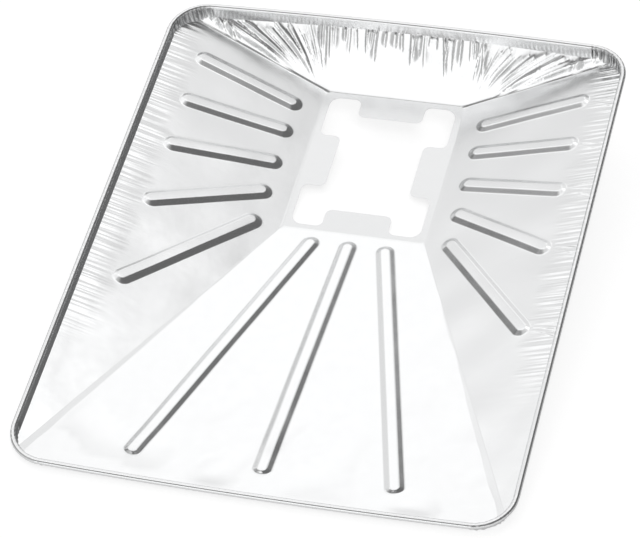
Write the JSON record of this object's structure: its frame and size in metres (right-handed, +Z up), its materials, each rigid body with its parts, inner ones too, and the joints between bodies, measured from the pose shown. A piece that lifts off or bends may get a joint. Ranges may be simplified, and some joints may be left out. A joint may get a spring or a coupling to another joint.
{
  "type": "foil drip pan",
  "caption": "Shallow rectangular foil drip pan with a rolled rim, ribbed walls that fall to a small floor near the back, and a tabbed outlet in that floor",
  "frame": {"origin": "bottom centre of the bounding box; the pan lies as it comes to rest, on its front wall", "axes": "+Z up; +Y from the front edge towards the back edge, where the floor and its outlet are; +X to the right; the plane of the rim rises towards the back by 8.6 degrees"},
  "size_m": [0.38, 0.4697, 0.0793],
  "materials": {
    "foil": "bright rolled foil, creased by forming"
  },
  "bodies": {
    "root": {"drip_pan": "foil"}
  },
  "joints": []
}
